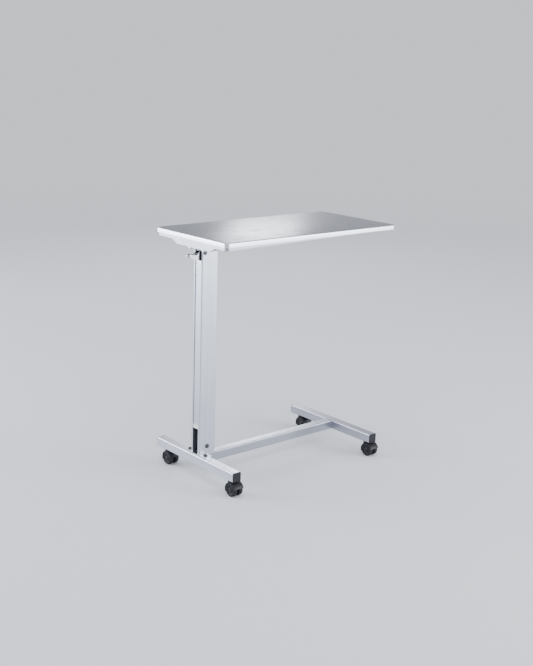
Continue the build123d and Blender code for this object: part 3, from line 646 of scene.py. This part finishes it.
low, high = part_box("foot_bolts")
centre = middle_of("foot_bolts")
length = high.z - low.z
bolts = [
    button_bolt((centre.x, y, low.z), (0, 0, 1), length, HEAD_D, HEAD_T, SHANK, KEY)
    for y in (low.y + HEAD_D / 2, high.y - HEAD_D / 2)
]
finished(joined("foot_button_bolts", bolts), "base", "bolt_dark", ["foot_bolts"], 32)

low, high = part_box("anchor_bolt")
centre = middle_of("anchor_bolt")
length = high.y - low.y
anchor = button_bolt((centre.x, high.y, centre.z), (0, -1, 0), length, HEAD_D, HEAD_T, SHANK, KEY)
finished(joined("anchor_button_bolt", [anchor]), "base", "bolt_dark", ["anchor_bolt"], 32)

# the anchor bolt's domed nut; the head bolts' heads further down have the same flats
NUT_FLATS = 13 * MM
NUT_T = 5.5 * MM
low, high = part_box("anchor_nut")
centre = middle_of("anchor_nut")
start = (centre.x, low.y, centre.z)
domed = hex_nut(start, (0, 1, 0), NUT_FLATS, NUT_T, high.y - low.y - NUT_T)
finished(joined("anchor_dome_nut", [domed]), "base", "bolt_dark", ["anchor_nut"], 32)

SCREW_T = 3 * MM
SCREW_SHANK = 5 * MM
SCREW_REACH = 3.6 * MM
SCREW_KEY = 5 * MM
low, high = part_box("guide_screws")
centre = middle_of("guide_screws")
screw_d = high.x - low.x
length = SCREW_T + SCREW_REACH
screws = []
for side in (-1, 1):
    tail = (centre.x, side * (high.y - length), centre.z)
    screws.append(
        button_bolt(tail, (0, side, 0), length, screw_d, SCREW_T, SCREW_SHANK, SCREW_KEY)
    )
finished(joined("guide_button_screws", screws), "base", "bolt_dark", ["guide_screws"], 32)

low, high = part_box("head_bolts")
reach = NUT_FLATS / cos(pi / 6) / 2
hexes = []
for x in (low.x + reach, high.x - reach):
    for y in (low.y + NUT_FLATS / 2, high.y - NUT_FLATS / 2):
        head = hex_nut((x, y, low.z + NUT_T), (0, 0, -1), NUT_FLATS, NUT_T, 0)
        length = high.z - low.z - NUT_T
        stud = [(0, SHANK / 2), (length - 0.8 * MM, SHANK / 2), (length, SHANK / 2 - 0.8 * MM)]
        shank = turned("shank", (x, y, low.z + NUT_T), (0, 0, 1), stud, 32)
        hexes.extend((head, shank))
finished(joined("head_hex_bolts", hexes), "lift", "zinc", ["head_bolts"], 32)


# ---------------------------------------------------------------- weld beads

RIPPLE = 1.1 * MM
BASE_BEAD = 1.5 * MM
MAST_BEAD = 1.3 * MM
# a ripple's crest and trough, as shares of its length; the trough's and the ends' share of the radius
CREST = 0.3
TROUGH = 0.8
DIP = 0.82
TIP = 0.35
# how far the beads stop short of a corner
ROUND = 4 * MM
PLATE_ROUND = 5 * MM


def bead(start, end, radius):
    """A rippled weld bead from start to end."""
    start, end = Vector(start), Vector(end)
    length = (end - start).length
    profile = [(0, radius * TIP)]
    for ripple in range(int(length / RIPPLE)):
        profile.append((RIPPLE * (ripple + CREST), radius))
        profile.append((RIPPLE * (ripple + TROUGH), radius * DIP))
    profile.append((length, radius * TIP))
    return turned("bead", start, (end - start).normalized(), profile, 10)


def square_of_beads(low, high, axis, place, radius, inset, sides=(0, 1, 2, 3)):
    """Beads round a box's outline where it meets a face square to the axis at place."""
    across = [i for i in range(3) if i != axis]
    corners = []
    for first, second in ((0, 0), (1, 0), (1, 1), (0, 1)):
        corner = [0, 0, 0]
        corner[axis] = place
        corner[across[0]] = (low, high)[first][across[0]]
        corner[across[1]] = (low, high)[second][across[1]]
        corners.append(Vector(corner))
    beads = []
    for side in sides:
        start, end = corners[side], corners[(side + 1) % 4]
        step = (end - start).normalized() * inset
        beads.append(bead(start + step, end - step, radius))
    return beads


rail_low, rail_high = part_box("base_rail")
column_low, column_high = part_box("outer_column")
ALL_BUT_SLOT_SIDE = (0, 1, 2)
base_beads = [
    *square_of_beads(rail_low, rail_high, 0, rail_low.x, BASE_BEAD, ROUND),
    *square_of_beads(rail_low, rail_high, 0, rail_high.x, BASE_BEAD, ROUND),
    *square_of_beads(
        column_low, column_high, 2, column_low.z, BASE_BEAD, PLATE_ROUND, ALL_BUT_SLOT_SIDE
    ),
]
finished(joined("base_weld_beads", base_beads), "base", "stainless_weld", (), 50)

mast_low, mast_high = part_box("mast_tube")
mast_beads = square_of_beads(mast_low, mast_high, 2, mast_high.z, MAST_BEAD, ROUND)
finished(joined("mast_weld_beads", mast_beads), "lift", "stainless_weld", (), 50)


# ---------------------------------------------------------------- floor, light and camera

FLOOR_R = 9.0
FADE_FROM = 2.6
FADE_TO = 8.8
PAPER = rgb(0.82, 0.835, 0.87)
SKY = rgb(0.86, 0.885, 0.95)

deselect()
bpy.ops.mesh.primitive_circle_add(vertices=96, radius=FLOOR_R, fill_type="NGON")
floor = bpy.context.object
floor.name = "floor"
paper = Finish("floor_paper")
away = (paper.axis("X") ** 2.0 + paper.axis("Y") ** 2.0) ** 0.5
floor.data.materials.append(
    paper.surface(
        Base_Color=PAPER,
        Roughness=0.8,
        Alpha=1.0 - paper.ramp(away, FADE_FROM, FADE_TO),
    )
)

world = bpy.data.worlds.new("studio")
world.use_nodes = True
background = world.node_tree.nodes["Background"]
background.inputs["Color"].default_value = SKY
background.inputs["Strength"].default_value = 1.0
bpy.context.scene.world = world


TABLE_MIDDLE = (0.0, 0.0, 0.5)
TOP_MIDDLE = (0.0, 0.0, 0.88)
DAYLIGHT = (0.94, 0.97, 1.0)


def panel(name, place, aim, width, height, power):
    """A soft rectangular light at place, turned towards aim."""
    light = bpy.data.lights.new(name, "AREA")
    light.shape = "RECTANGLE"
    light.size = width
    light.size_y = height
    light.energy = power
    light.color = DAYLIGHT
    lamp = bpy.data.objects.new(name, light)
    bpy.context.scene.collection.objects.link(lamp)
    lamp.location = place
    towards = Vector(aim) - Vector(place)
    lamp.rotation_euler = towards.to_track_quat("-Z", "Y").to_euler()


panel("front_panel", (2.6, -3.7, 1.35), TABLE_MIDDLE, 3.2, 2.2, 180)
panel("left_panel", (-3.5, 3.5, 1.25), TABLE_MIDDLE, 3.0, 2.2, 240)
panel("back_panel", (3.19, 3.83, 2.1), TOP_MIDDLE, 0.62, 0.8, 20)
panel("overhead_panel", (-0.8, -1.2, 3.4), TABLE_MIDDLE, 2.4, 2.4, 35)

CAMERA_PLACE = Vector((-2.5265, -2.8813, 1.4743))
CAMERA_YAW = 0.7124
CAMERA_DIP = 0.2532
CAMERA_ROLL = 0.0315
CAMERA_LENS = 58.01
SENSOR = 36.0

lens = bpy.data.cameras.new("camera")
lens.lens = CAMERA_LENS
lens.sensor_width = SENSOR
camera = bpy.data.objects.new("camera", lens)
bpy.context.scene.collection.objects.link(camera)
camera.location = CAMERA_PLACE
level = Vector((sin(CAMERA_YAW), cos(CAMERA_YAW), 0.0))
sight = level * cos(CAMERA_DIP) - Vector((0.0, 0.0, sin(CAMERA_DIP)))
camera.rotation_mode = "QUATERNION"
camera.rotation_quaternion = sight.to_track_quat("-Z", "Y") @ Quaternion((0, 0, 1), CAMERA_ROLL)
bpy.context.scene.camera = camera
